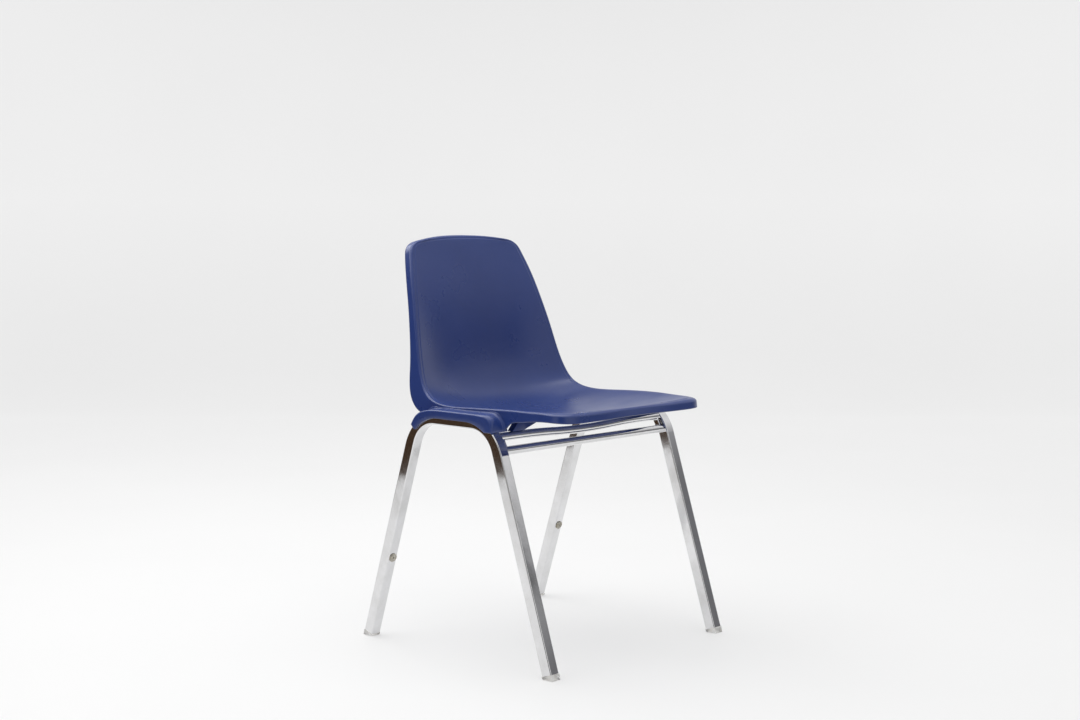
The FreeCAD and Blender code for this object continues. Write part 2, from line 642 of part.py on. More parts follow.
def make_shell_skin():
    """The dished seat and back, 4 mm thick, with its rolled and turned-down rim."""
    rows, depths = shell_rows()
    normals = normals_of(rows)
    sides = boundary_of(rows)
    outward = {}
    for side in sides:
        for number, place in enumerate(side):
            before = side[max(number - 1, 0)]
            after = side[min(number + 1, len(side) - 1)]
            tangent = rows[after[0]][after[1]] - rows[before[0]][before[1]]
            away = tangent.cross(normals[place[0]][place[1]]).normalize()
            outward[place] = outward.get(place, Vector()) + away
    wall = size("shell_wall")

    def moved(place, out, down):
        i, j = place
        away = Vector(outward[place]).normalize()
        drop = Vector(0, normals[i][j].y, normals[i][j].z).normalize()
        return rows[i][j] + away * out - drop * down

    def loop(out_of, down_of):
        return [[moved(place, out_of(place), down_of(place)) for place in side] for side in sides]

    def roll_of(place):
        """The roll at a place, eased from the front edge or the top into the sides."""
        i, j = place
        side = size("side_roll")
        if i == 0 or i == len(rows) - 1:
            end = size("front_roll") if i == 0 else size("top_roll")
            corner = j in (0, ACROSS - 1)
            return (end + side) / 2 if corner else end
        return side

    def depth_of(place):
        return depths[place[0]]

    flare = size("rim_draft")
    shoulder = loop(lambda p: roll_of(p) * 0.55, lambda p: 1.2)
    turn = loop(roll_of, lambda p: 5.5)
    tip_out = loop(lambda p: roll_of(p) + flare, depth_of)
    tip_in = loop(lambda p: roll_of(p) + flare - wall, depth_of)
    root = loop(lambda p: roll_of(p) - wall - 1.0, lambda p: 6.5)
    inner = loop(lambda p: -0.5, lambda p: wall)

    upper = Part.BSplineSurface()
    upper.interpolate(rows)
    inner_rows = [[rows[i][j] - normals[i][j] * wall for j in range(ACROSS)]
                  for i in range(len(rows))]
    for side, points in zip(sides, inner):
        for (i, j), point in zip(side, points):
            inner_rows[i][j] = point
    lower = Part.BSplineSurface()
    lower.interpolate(inner_rows)
    faces = [upper.toShape(), lower.toShape()]
    rings = [[spline(points) for points in ring_points]
             for ring_points in (shoulder, turn, tip_out, tip_in, root)]
    rings = [border(upper)] + rings + [border(lower)]
    for first, second in zip(rings, rings[1:]):
        for below, above in zip(first, second):
            faces.append(Part.makeRuledSurface(below, above))
    shell = Part.makeShell(faces)
    shell.sewShape(0.001)
    solid = Part.makeSolid(shell)
    if solid.Volume < 0:
        solid.reverse()
    return solid, upper


def panel_middle(upper, x, y):
    """Height of the middle of the seat's wall above a point, found on the upper face."""
    probe = Part.makeLine(Vector(x, y, 400), Vector(x, y, 475))
    hit = upper.toShape().section(probe).Vertexes[0].Point
    return hit.z - size("shell_wall") / 2


def extruded(points, start, direction):
    """A solid from a closed outline pushed along a direction."""
    outline = Part.makePolygon([start + point for point in points + points[:1]])
    return Part.Face(outline).extrude(direction)


def on_bend(angle, radius, x):
    """A point at an angle and radius about the front bend, if negative, or the rear bend."""
    y, z = bend_centre(size("tube_top"), 0.0, size("bend_outer"))
    middle = math.copysign(y, angle)
    return Vector(x, middle + radius * math.sin(angle), z + radius * math.cos(angle))


def plain_edge(radius, x):
    """Edges at one distance from the bends, from the saddle's front end to its rear end."""
    _, z = bend_centre(size("tube_top"), 0.0, size("bend_outer"))
    first = -math.acos((size("saddle_front_low") - z) / radius)
    last = math.radians(size("saddle_rear_end"))
    front = Part.Arc(*[on_bend(first * share, radius, x) for share in (1, 0.5, 1e-9)])
    rear = Part.Arc(*[on_bend(last * share, radius, x) for share in (1e-9, 0.5, 1)])
    front, rear = front.toShape(), rear.toShape()
    level = Part.makeLine(front.lastVertex(True).Point, rear.firstVertex(True).Point)
    return [front, level, rear]


def crown_edge(x):
    """Edges of the saddle's crown, from its front face to its end on the rear bend."""
    level = size("tube_top") + size("saddle_rise")
    face, corner = size("saddle_front_y"), size("saddle_front_corner")
    tilt = math.radians(45)
    low = Vector(x, face, size("saddle_front_low"))
    start = Vector(x, face, level - corner)
    middle = Vector(x, face + corner * (1 - math.cos(tilt)), level - corner * (1 - math.sin(tilt)))
    end = Vector(x, face + corner, level)
    last = math.radians(size("saddle_rear_end"))
    rear = []
    for share in (1e-9, 0.12, 0.25, 0.38, 0.5, 0.62, 0.75, 0.88, 1.0):
        swell = math.sin(math.pi * share ** 1.8) ** 1.5 * size("saddle_rear_bulge")
        radius = size("bend_outer") + size("saddle_rise") - 1.5 * share ** 3 + swell
        rear.append(on_bend(last * share, radius, x))
    return [Part.makeLine(low, start), Part.Arc(start, middle, end).toShape(),
            Part.makeLine(end, rear[0]), spline(rear)]


def band(low, high, depth):
    """A solid between a lower and an upper row of edges, pushed across the chair."""
    ends = [Part.makeLine(low[index].Vertexes[index].Point, high[index].Vertexes[index].Point)
            for index in (0, -1)]
    outline = Part.Wire(Part.__sortEdges__(low + high + ends))
    return Part.Face(outline).extrude(Vector(depth, 0, 0))


def scoop(root):
    """What is cut from the front corner of the crown, deepest at the shell's flange."""
    level = size("tube_top") + size("saddle_rise")
    face, clear = size("saddle_front_y"), 2.0
    tilt = math.radians(45)

    def outline(x, corner):
        start = Vector(x, face, level - corner)
        middle = Vector(x, face + corner * (1 - math.cos(tilt)),
                        level - corner * (1 - math.sin(tilt)))
        end = Vector(x, face + corner, level)
        box = Part.makePolygon([end, end + Vector(0, 0, clear),
                                Vector(x, face - clear, level + clear),
                                Vector(x, face - clear, level - corner), start])
        return Part.Wire(Part.Arc(start, middle, end).toShape().Edges + box.Edges)

    inner = outline(root, size("saddle_scoop"))
    outer = outline(root + size("saddle_scoop_width"), size("saddle_front_corner"))
    return Part.makeLoft([inner, outer], True, True)


def make_saddle():
    """The left saddle: a crown over the tube and a skirt down its outer face."""
    tube = size("bend_outer")
    root = size("saddle_root")
    inside = size("frame_width") / 2 + size("fit")
    outside = inside + size("saddle_wall")
    plate = band(plain_edge(tube + size("fit"), root), crown_edge(root), outside - root)
    plate = plate.cut(scoop(root))
    skirt = band(plain_edge(tube - size("saddle_cover"), inside), crown_edge(inside),
                 outside - inside)
    saddle = plate.fuse(skirt).removeSplitter()
    crown = [edge for edge in saddle.Edges if is_on_crown(edge, outside)]
    return saddle.makeFillet(size("saddle_round"), crown)


def is_on_crown(edge, x):
    """Whether an edge is the crown's outer edge."""
    box = edge.BoundBox
    if box.XMin < x - 0.01:
        return False
    at_front = abs(box.YMax - size("saddle_front_y")) < 0.1 and box.YLength < 0.1
    return at_front or box.ZMax > size("tube_top") + size("fit") + 1


def make_rib(upper):
    """The left rib, which stands on the left end of the front upper bar."""
    y = size("upper_bar_y")
    low = size("upper_bar_z") + size("bar_diameter") / 2 + size("fit")
    outer, length, toe = size("rib_x"), size("rib_foot"), size("rib_toe")
    first = outer - size("rib_lean")
    points = [Vector(outer - length, 0, low), Vector(outer, 0, low)]
    for share in (0, 0.25, 0.5, 0.75, 1):
        x = first + (toe - first) * share
        points.append(Vector(x, 0, panel_middle(upper, x, y)))
    thickness = size("rib_thickness")
    return extruded(points, Vector(0, y - thickness / 2, 0), Vector(0, thickness, 0))


def make_boss(upper):
    """The boss that stands on the left end of the rear bar."""
    low = size("rear_bar_z") + size("bar_diameter") / 2
    y = size("rear_bar_y")
    height = panel_middle(upper, size("screw_x"), y) - low
    boss = Part.makeCylinder(size("boss_diameter") / 2, height, Vector(size("screw_x"), y, low))
    depth = seat_of_screw() + size("screw_length") + 0.5 - low
    bore = Part.makeCylinder(size("screw_diameter") / 2, depth, Vector(size("screw_x"), y, low))
    return boss.cut(bore)


def make_shell():
    """Seat and back in one moulding, with saddles, ribs and bosses on both sides."""
    skin, upper = make_shell_skin()
    additions = [make_saddle(), make_rib(upper), make_boss(upper)]
    mirrored = [piece.mirror(Vector(), Vector(1, 0, 0)) for piece in additions]
    shell = skin.multiFuse(additions + mirrored)
    item = doc.addObject("Part::Feature", "seat_shell")
    item.Label = "seat_shell"
    item.Shape = shell
    return item


# -------------------------------------------------------------------- assembly

def make_chair():
    for tag, side in (("left", 1), ("right", -1)):
        make_side_frame(f"{tag}_side_frame", side)
        make_gusset(f"{tag}_bar_gusset", side)
        make_buffer(f"{tag}_stacking_buffer", side)
        make_screw(f"{tag}_shell_screw", side)
        for end in ("front", "rear"):
            make_glide(f"{end}_{tag}_glide", side, end == "rear")
    make_straight_bar("front_lower_crossbar", "lower_bar_y", "lower_bar_z")
    make_dipped_bar("front_upper_crossbar", "upper_bar_y", "upper_bar_z", "upper_bar_dip")
    rear_bar = make_dipped_bar("rear_crossbar", "rear_bar_y", "rear_bar_z", "rear_bar_dip")
    drill_bar(rear_bar)
    make_shell()


def check_document():
    """Stop if any object failed to build or any sub-part is empty or broken."""
    doc.recompute()
    for item in doc.Objects:
        if "Invalid" in item.State or "Error" in item.State:
            raise RuntimeError(f"{item.Name} is {item.State}")
    for piece in pieces():
        if piece.Shape.isNull() or not piece.Shape.isValid() or len(piece.Shape.Solids) != 1:
            raise RuntimeError(f"{piece.Label} is not one valid solid")


def pieces():
    return doc.findObjects("PartDesign::Body") + doc.findObjects("Part::Feature", "seat_shell")


def write_parts():
    os.makedirs("parts", exist_ok=True)
    for piece in pieces():
        piece.Shape.exportStep(f"parts/{piece.Label}.step")
        box = piece.Shape.BoundBox
        print(f"{piece.Label:24s} {piece.Shape.Volume / 1000:9.2f} cm3"
              f"  z {box.ZMin:7.2f} to {box.ZMax:7.2f}")


fill_sheet()
make_chair()
check_document()
write_parts()
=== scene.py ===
import math

import bmesh
import bpy
import numpy as np
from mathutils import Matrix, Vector
from mathutils.kdtree import KDTree


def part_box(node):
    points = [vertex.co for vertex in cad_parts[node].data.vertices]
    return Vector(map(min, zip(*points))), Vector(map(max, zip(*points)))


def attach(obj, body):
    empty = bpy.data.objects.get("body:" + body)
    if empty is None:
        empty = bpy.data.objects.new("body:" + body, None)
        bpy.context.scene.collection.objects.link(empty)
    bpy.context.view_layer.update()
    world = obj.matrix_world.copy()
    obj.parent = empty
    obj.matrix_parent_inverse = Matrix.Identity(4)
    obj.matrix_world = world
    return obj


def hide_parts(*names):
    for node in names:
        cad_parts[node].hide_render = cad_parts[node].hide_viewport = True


# A stacking chair. The chromed frame, glides, buffers and screws are the CAD's own nodes with
# worn materials. The plastic shell is rebuilt here as a finer moulding that stands in for the
# CAD's shell. Its shapes are worked out in millimetres, and new_mesh turns them into metres.
# The studio is in metres. The floor is z = 0 and the chair faces -y.

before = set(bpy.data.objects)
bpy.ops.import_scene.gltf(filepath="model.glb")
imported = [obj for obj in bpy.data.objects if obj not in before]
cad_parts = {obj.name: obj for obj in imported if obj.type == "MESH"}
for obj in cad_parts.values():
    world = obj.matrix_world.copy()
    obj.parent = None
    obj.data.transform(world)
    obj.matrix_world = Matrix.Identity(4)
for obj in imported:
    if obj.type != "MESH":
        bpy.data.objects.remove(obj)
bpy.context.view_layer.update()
MM = 0.001


# ---------------------------------------------------------------- measurements

# Sections across the shell from the front edge of the seat to the top of the back, in mm:
# centre line (y, z), rim (y, z), half width and depth of the turned-down rim.
SECTIONS = np.array([
    (-229.0, 471.0, -229.0, 472.0, 150.0, 19.0),
    (-227.5, 470.6, -227.0, 472.1, 172.0, 19.0),
    (-221.0, 468.8, -220.0, 472.4, 186.5, 19.0),
    (-208.0, 465.2, -208.0, 472.7, 194.5, 19.0),
    (-190.0, 460.5, -190.0, 473.0, 199.0, 19.3),
    (-160.0, 454.0, -160.0, 473.0, 205.0, 21.3),
    (-132.0, 449.2, -135.0, 473.3, 208.8, 24.6),
    (-109.0, 446.4, -114.0, 473.5, 211.5, 32.5),
    (-98.0, 445.4, -104.0, 473.4, 212.8, 42.0),
    (-82.0, 444.2, -90.0, 473.2, 214.6, 31.0),
    (-50.0, 442.0, -60.0, 472.5, 217.0, 19.0),
    (10.0, 441.0, -5.0, 470.5, 217.5, 17.0),
    (65.0, 444.0, 40.0, 469.5, 213.5, 19.0),
    (112.0, 455.0, 82.0, 474.0, 209.0, 31.0),
    (146.0, 478.0, 110.0, 487.0, 205.0, 44.0),
    (166.0, 512.0, 127.0, 510.0, 200.5, 40.0),
    (176.0, 550.0, 140.0, 542.0, 195.0, 29.0),
    (183.0, 600.0, 155.0, 594.0, 187.5, 21.0),
    (192.0, 655.0, 172.0, 652.0, 177.0, 18.5),
    (205.0, 712.0, 192.0, 712.0, 164.0, 18.5),
    (217.0, 758.0, 208.0, 754.0, 151.0, 18.5),
    (221.0, 773.0, 212.5, 766.5, 143.5, 18.5),
    (223.0, 779.5, 215.0, 773.5, 130.0, 18.5),
    (223.5, 782.0, 216.0, 776.5, 112.0, 18.5),
])
DISH = 2.4                  # how flat the middle of a section is
WALL = 4.0                  # thickness of the moulding
ROLL = {"front": 11.5, "side": 6.5, "top": 4.3}
SHOULDER = 8.0              # depth of the roll
FLARE = 1.5                 # how far the flange leans out below the roll
FRONT_CORNERS = (-226.0, -175.0)   # y range where the front roll eases into the side roll
TOP_CORNERS = (752.0, 775.0)       # z range where the side roll eases into the top roll
BAND_WIDTH = 4.5            # a sunk band runs round the rim
BAND_WIDTH_TOP = 1.5        # the band along the top of the back
BAND_SINK = (1.3, 1.1)      # depth of the band at the rim and at its inner edge
BAND_STEP = 2.8             # width of the step from the band up to the panel
BAND_TOP_CORNERS = (750.0, 772.0)  # z range where the band narrows

TUBE_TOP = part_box("left_side_frame")[1].z / MM
TUBE_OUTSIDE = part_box("left_side_frame")[1].x / MM
BEND_Y, BEND_Z = 36.95, 362.0
BEND_RADIUS = TUBE_TOP - BEND_Z
SADDLE_GAP = 0.3
SADDLE_ROOT = 209.0         # x of the saddle's inner edge, inside the shell's flange
SADDLE_COVER = 10.5         # how far the skirt hangs below the tube's top
SADDLE_RISE = 5.8           # height of the crown over the tube
SADDLE_REAR_END = math.radians(46)
SADDLE_REAR_BULGE = 5.0
SADDLE_REAR_SKEW, SADDLE_REAR_PINCH = 1.8, 1.5   # where the bulge sits and how narrow it is
SADDLE_REAR_FALL = 1.5      # how much lower the crown is at its rear end
SADDLE_SKIRT_EDGE = 1.0
SADDLE_END_SHRINK = 1.0     # how far the end sections draw in, to soften the cut
SADDLE_FRONT_LOW = 431.5    # the front end is cut level at this height
SADDLE_FRONT_Y = -107.0
SADDLE_FRONT_CORNER = 20.0  # radius of the front corner at the outer edge
SADDLE_ROUND = 4.2          # radius along the outer edge of the crown
SADDLE_ROUND_GROWTH = 0.3   # how much that radius grows where the crown bulges
SADDLE_SCOOP = 45.0         # radius of the front corner at the inner edge
SADDLE_SCOOP_WIDTH = 34.0

BAR_Y, BAR_Z, BAR_RADIUS = -100.0, 422.0, 8.0
RIB_X, RIB_HALF = 198.0, 7.0
RIB_FOOT, RIB_LEAN, RIB_TOE = 30.0, 26.0, 114.0
RIB_POINTS, RIB_DIP, RIB_EDGE = 9, 1.0, 0.8
BOSS_Y, BOSS_FOOT, BOSS_RADIUS = 72.0, 447.0, 7.0
BOSS_SIDES, BOSS_EDGE = 24, 0.6
SCREW_X = 172.0
SEAT_HIGH = 480.0           # all of the seat is below this height


# --------------------------------------------------------------- small helpers

def spline(knots, values, at):
    """Natural cubic spline through values at knots, evaluated at the given places."""
    knots = np.asarray(knots, float)
    values = np.asarray(values, float)
    steps = np.diff(knots)
    count = len(knots)
    system = np.eye(count)
    right = np.zeros((count,) + values.shape[1:])
    slopes = np.diff(values, axis=0) / steps[:, None]
    for k in range(1, count - 1):
        system[k, k - 1] = steps[k - 1]
        system[k, k] = 2 * (steps[k - 1] + steps[k])
        system[k, k + 1] = steps[k]
        right[k] = 6 * (slopes[k] - slopes[k - 1])
    bend = np.linalg.solve(system, right)
    k = np.clip(np.searchsorted(knots, at) - 1, 0, count - 2)
    h = steps[k][:, None]
    low = ((at - knots[k]) / steps[k])[:, None]
    high = 1 - low
    return (high * values[k] + low * values[k + 1]
            + ((high ** 3 - high) * bend[k] + (low ** 3 - low) * bend[k + 1]) * h ** 2 / 6)


def unit(vectors):
    return vectors / np.linalg.norm(vectors, axis=-1, keepdims=True)


def smoothstep(low, high, value):
    t = np.clip((value - low) / (high - low), 0, 1)
    return t * t * (3 - 2 * t)


def new_mesh(name, points, faces):
    """An object from points in mm and faces."""
    mesh = bpy.data.meshes.new(name)
    mesh.from_pydata((np.asarray(points) * MM).tolist(), [], [list(f) for f in faces])
    mesh.validate()
    mesh.shade_smooth()
    thing = bpy.data.objects.new(name, mesh)
    bpy.context.scene.collection.objects.link(thing)
    return thing


# ------------------------------------------------------------------- the shell

EDGE_STEP = 0.8             # grid spacing near the rim, growing inward
EDGE_STEPS = 15
EDGE_GROWTH = 1.15
INNER_STEP = 5.5
ROLL_STEPS = 8
FLANGE_RINGS = (0.12, 0.3, 0.55, 0.8, 0.95)   # shares of the way down the flange
TIP_TURNS = (25, 90, 155)                     # degrees round the flange's tip
INNER_RINGS = (0.05, 0.35, 0.7, 1.0)          # shares of the way back up inside
TIP = 1.0                   # height of the flange's rounded tip
INNER_SHOULDER = SHOULDER + 2.5
ROOT_SHARE, ROOT_DROP = 0.55, 1.4   # the inner fillet between the flange and the panel


def graded(length):
    """Distances from 0 to a length, close together near both ends."""
    half = [0.0]
    step = EDGE_STEP
    while half[-1] < length / 2:
        half.append(half[-1] + step)
        if len(half) > EDGE_STEPS:
            step = min(step * EDGE_GROWTH, INNER_STEP)
    half = np.array(half) * (length / 2 / half[-1])
    return np.concatenate([half, (length - half[::-1])[1:]])


def panel_grid():
    """Points of the shell's upper face in rows across it, unit normals, and rim depths."""
    middle = np.linalg.norm(np.diff(SECTIONS[:, 0:2], axis=0), axis=1)
    side = np.linalg.norm(np.diff(SECTIONS[:, 2:5], axis=0), axis=1)
    knots = np.concatenate([[0], np.cumsum((middle + side) / 2)])
    rows = spline(knots, SECTIONS, graded(knots[-1]))
    width = 2 * SECTIONS[:, 4].max()
    u = 2 * graded(width) / width - 1
    rise = np.abs(u) ** DISH
    points = np.zeros((len(rows), len(u), 3))
    points[:, :, 0] = rows[:, 4:5] * u
    points[:, :, 1] = rows[:, 0:1] + (rows[:, 2:3] - rows[:, 0:1]) * rise
    points[:, :, 2] = rows[:, 1:2] + (rows[:, 3:4] - rows[:, 1:2]) * rise
    along = np.gradient(points, axis=0)
    along[:, :, 0] = 0
    across = np.gradient(points, axis=1)
    return points, unit(np.cross(across, along)), rows[:, 5]


def border_places(rows, columns):
    """Grid places round the border: front edge, left side, top edge, right side."""
    places = [(0, j) for j in range(columns - 1)]
    places += [(i, columns - 1) for i in range(rows - 1)]
    places += [(rows - 1, j) for j in range(columns - 1, 0, -1)]
    places += [(i, 0) for i in range(rows - 1, 0, -1)]
    return np.array(places)


def rim_rolls(border):
    """How far the rim rolls outward at each border point, eased round the corners."""
    y, z = border[:, 1], border[:, 2]
    front = 1 - smoothstep(*FRONT_CORNERS, y)
    top = smoothstep(*TOP_CORNERS, z)
    roll = ROLL["side"] + (ROLL["front"] - ROLL["side"]) * front
    return roll + (ROLL["top"] - ROLL["side"]) * top


def rim_frame():
    """Border points in order, their outward and downward directions, rolls and depths."""
    points, normals, depths = panel_grid()
    places = border_places(*points.shape[:2])
    border = points[places[:, 0], places[:, 1]]
    tangent = np.roll(border, -1, axis=0) - np.roll(border, 1, axis=0)
    border_normals = normals[places[:, 0], places[:, 1]]
    away = unit(np.cross(tangent, border_normals))
    drop = -unit(border_normals * np.array([0.0, 1.0, 1.0]))
    return border, away, drop, rim_rolls(border), depths[places[:, 0]]


def band_sink(points, inset):
    """How far the surface lies under the panel's design surface: band, step, panel."""
    top = smoothstep(*BAND_TOP_CORNERS, points[:, :, 2])
    width = BAND_WIDTH + (BAND_WIDTH_TOP - BAND_WIDTH) * top
    rim, inner = BAND_SINK
    band = rim + (inner - rim) * np.clip(inset / width, 0, 1)
    return band * (1 - smoothstep(width, width + BAND_STEP, inset))


def make_skin():
    """The dished panel with its sunk band, rolled rim, flange and inner face."""
    points, normals, _ = panel_grid()
    row_count, column_count = points.shape[:2]
    places = border_places(row_count, column_count)
    border, away, drop, roll, depth = rim_frame()

    sink = band_sink(points, panel_inset(points, border))
    sunk = points - normals * sink[:, :, None]
    vertices = [sunk.reshape(-1, 3)]
    index = np.arange(row_count * column_count).reshape(row_count, column_count)
    rings = [index[places[:, 0], places[:, 1]]]
    count = index.size

    def add_ring(out, down):
        nonlocal count
        out = np.broadcast_to(out, roll.shape)
        down = np.broadcast_to(down, roll.shape)
        vertices.append(border + away * out[:, None] + drop * down[:, None])
        rings.append(np.arange(count, count + len(places)))
        count += len(places)

    rim_sink = BAND_SINK[0]
    for step in range(1, ROLL_STEPS + 1):
        turn = step / ROLL_STEPS * math.pi / 2
        add_ring(roll * math.sin(turn), rim_sink + (SHOULDER - rim_sink) * (1 - math.cos(turn)))
    for step in FLANGE_RINGS:
        add_ring(roll + FLARE * step, SHOULDER + (depth - SHOULDER) * step)
    for turn in TIP_TURNS:
        angle = math.radians(turn)
        add_ring(roll + FLARE - WALL / 2 + WALL / 2 * math.cos(angle),
                 depth - TIP + TIP * math.sin(angle))
    for step in INNER_RINGS:
        add_ring(roll + FLARE * (1 - step) - WALL,
                 depth - TIP + (INNER_SHOULDER - depth + TIP) * step)
    add_ring((roll - WALL) * ROOT_SHARE, WALL + ROOT_DROP)

    under = points - normals * WALL
    vertices.append(under.reshape(-1, 3))
    under_index = count + index
    rings.append(under_index[places[:, 0], places[:, 1]])

    faces = []
    for i in range(row_count - 1):
        for j in range(column_count - 1):
            for grid, order in ((index, 1), (under_index, -1)):
                quad = (grid[i, j], grid[i, j + 1], grid[i + 1, j + 1], grid[i + 1, j])
                faces.append(quad[::order])
    total = len(places)
    for inner, outer in zip(rings, rings[1:]):
        for k in range(total):
            n = (k + 1) % total
            faces.append((inner[k], outer[k], outer[n], inner[n]))
    return np.vstack(vertices), faces


def panel_inset(points, border):
    """Distance from each point of the panel to the rim."""
    tree = KDTree(len(border))
    for k, place in enumerate(border):
        tree.insert(place, k)
    tree.balance()
    flat = [tree.find(point)[2] for point in points.reshape(-1, 3)]
    return np.array(flat).reshape(points.shape[:2])


# ----------------------------------------------------------------- the saddles

BEND_STEPS = 30
LEVEL_STEPS = 10
END_LIP = 0.012             # share of the bend taken up by the softened cut
CROWN_POINTS = 17
CROWN_TURNS = 9
SKIRT_INSIDE = 2.0
PAST_END = 1e3              # a radius beyond every saddle, which meets the cut at its corner


def saddle_stations():
    """Steps along the bent tube: (bend centre's y, share of the way to the saddle's end).

    The share is negative on the front bend, 0 on the level and positive on the rear bend."""
    stations = [(-BEND_Y, -1.0)]
    stations += [(-BEND_Y, share) for share in np.linspace(END_LIP - 1, 0, BEND_STEPS)]
    stations += [(y, 0.0) for y in np.linspace(-BEND_Y, BEND_Y, LEVEL_STEPS)[1:-1]]
    stations += [(BEND_Y, share) for share in np.linspace(0, 1 - END_LIP, BEND_STEPS)]
    return stations + [(BEND_Y, 1.0)]


def front_end(radius):
    """Angle about the front bend where a radius meets the saddle's level cut."""
    face = -SADDLE_FRONT_Y - BEND_Y
    drop = SADDLE_FRONT_LOW - BEND_Z
    return math.acos(drop / min(radius, math.hypot(face, drop)))


def angle_at(share, radius):
    """Angle about the bend of a point at a radius, at a share of the way to the end."""
    return share * (front_end(radius) if share < 0 else SADDLE_REAR_END)


def crown_radius(share, x):
    """Distance of the saddle's crown from the bend's centre, scooped towards the shell."""
    rise = BEND_RADIUS + SADDLE_RISE
    if share >= 0:
        wave = math.sin(math.pi * share ** SADDLE_REAR_SKEW)
        swell = wave ** SADDLE_REAR_PINCH * SADDLE_REAR_BULGE
        return rise - SADDLE_REAR_FALL * share ** 3 + swell
    face = -SADDLE_FRONT_Y - BEND_Y
    angle = -angle_at(share, PAST_END)
    scooped = min(max((SADDLE_ROOT + SADDLE_SCOOP_WIDTH - x) / SADDLE_SCOOP_WIDTH, 0), 1)
    corner = SADDLE_FRONT_CORNER + (SADDLE_SCOOP - SADDLE_FRONT_CORNER) * scooped
    corner_y, corner_z = face - corner, rise - corner
    if math.tan(angle) < corner_y / rise:
        return rise / math.cos(angle)
    if math.tan(angle) > face / corner_z:
        return face / math.sin(angle)
    along = corner_y * math.sin(angle) + corner_z * math.cos(angle)
    span = corner_y ** 2 + corner_z ** 2 - corner ** 2
    return along + math.sqrt(along ** 2 - span)


def saddle_section(share, shrink=0.0):
    """The saddle's L-shaped section: (x, radius) points round its outline."""
    inside = TUBE_OUTSIDE + SADDLE_GAP
    outside = inside + WALL - shrink
    low = BEND_RADIUS + SADDLE_GAP
    high = crown_radius(share, outside) - shrink
    foot = BEND_RADIUS - SADDLE_COVER + shrink
    swell = max(high - BEND_RADIUS - SADDLE_RISE, 0)
    bend = min(SADDLE_ROUND + SADDLE_ROUND_GROWTH * swell, high - low)
    outline = [(x, crown_radius(share, x) - shrink)
               for x in np.linspace(SADDLE_ROOT, outside - bend, CROWN_POINTS)]
    for step in range(1, CROWN_TURNS + 1):
        turn = step / CROWN_TURNS * math.pi / 2
        outline.append((outside - bend * (1 - math.sin(turn)), high - bend * (1 - math.cos(turn))))
    outline.append((outside, (high - bend + foot) / 2))
    edge = SADDLE_SKIRT_EDGE
    for turn in (0, 45, 90):
        angle = math.radians(turn)
        outline.append((outside - edge * (1 - math.cos(angle)), foot + edge - edge * math.sin(angle)))
    for turn in (90, 135, 180):
        angle = math.radians(turn)
        outline.append((inside + edge * (1 + math.cos(angle)), foot + edge - edge * math.sin(angle)))
    outline += [(inside, low - SKIRT_INSIDE), (inside, low), (SADDLE_ROOT, low)]
    return np.array(outline)


def swept(sections, side):
    """A closed sweep on one side of the chair: (bend y, share, (x, radius) outline) steps."""
    vertices = []
    for y, share, outline in sections:
        for x, radius in outline:
            angle = angle_at(share, radius)
            vertices.append((side * x, y + radius * math.sin(angle),
                             BEND_Z + radius * math.cos(angle)))
    ring = len(sections[0][2])
    faces = [tuple(range(ring))[::-1]]
    for k in range(len(sections) - 1):
        for n in range(ring):
            m = (n + 1) % ring
            faces.append((k * ring + n, k * ring + m, (k + 1) * ring + m, (k + 1) * ring + n))
    faces.append(tuple(range((len(sections) - 1) * ring, len(sections) * ring)))
    if side < 0:
        faces = [face[::-1] for face in faces]
    return np.array(vertices), faces


def make_saddle(side):
    """The hood that hooks over a side tube, swept along the tube's outer contour."""
    stations = saddle_stations()
    ends = (0, len(stations) - 1)
    sections = [(y, share, saddle_section(share, SADDLE_END_SHRINK if k in ends else 0.0))
                for k, (y, share) in enumerate(stations)]
    return swept(sections, side)


VALLEY_RIM_X = 190.0        # the stretch of the rim that the saddle can meet
VALLEY_RIM_Y = (-150.0, 130.0)
VALLEY_REACH = 2.0          # how near the crown and the flange have to be
VALLEY_COLUMN = 3.0         # half width of the stretch of flange measured for room
VALLEY_SHARE = 0.85
VALLEY_RADIUS = (1.5, 7.0)  # least and greatest radius of the hollow
VALLEY_SINK = 1.5
VALLEY_OVERLAP = 0.1
VALLEY_TURNS = 8
WALL_STEPS = 30


def make_valley(side):
    """The soft hollow where a saddle's crown meets the shell's flange."""
    border, away, drop, roll, depth = rim_frame()
    front, rear = VALLEY_RIM_Y
    left = (border[:, 0] > VALLEY_RIM_X) & (border[:, 1] > front) & (border[:, 1] < rear)
    least, greatest = VALLEY_RADIUS
    shares = np.linspace(0, 1, WALL_STEPS)[:, None, None]
    down = SHOULDER + (depth[left][:, None] - SHOULDER) * shares
    out = roll[left][:, None] + FLARE * shares
    wall = (border[left] + away[left] * out + drop[left] * down).reshape(-1, 3)
    sections = []
    for y, share in saddle_stations()[1:-1]:
        radius = crown_radius(share, SADDLE_ROOT + 6)
        angle = angle_at(share, radius)
        crown = np.array([y + radius * math.sin(angle), BEND_Z + radius * math.cos(angle)])
        distance = np.linalg.norm(wall[:, 1:] - crown, axis=1)
        if distance.min() > VALLEY_REACH:
            continue
        x = wall[distance.argmin(), 0]
        radius = crown_radius(share, x)
        column = wall[np.abs(wall[:, 1] - crown[0]) < VALLEY_COLUMN]
        room = column[:, 2].max() - crown[1]
        hollow = min(max(VALLEY_SHARE * room, least), greatest)
        outline = [(x - VALLEY_SINK, radius - VALLEY_SINK), (x - VALLEY_OVERLAP, radius + hollow)]
        for step in range(1, VALLEY_TURNS + 1):
            turn = step / VALLEY_TURNS * math.pi / 2
            out = x + hollow * (1 - math.cos(turn))
            lift = hollow * (1 - math.sin(turn)) - VALLEY_OVERLAP
            outline.append((out, crown_radius(share, out) + lift))
        sections.append((y, share, outline))
    return swept(sections, side)


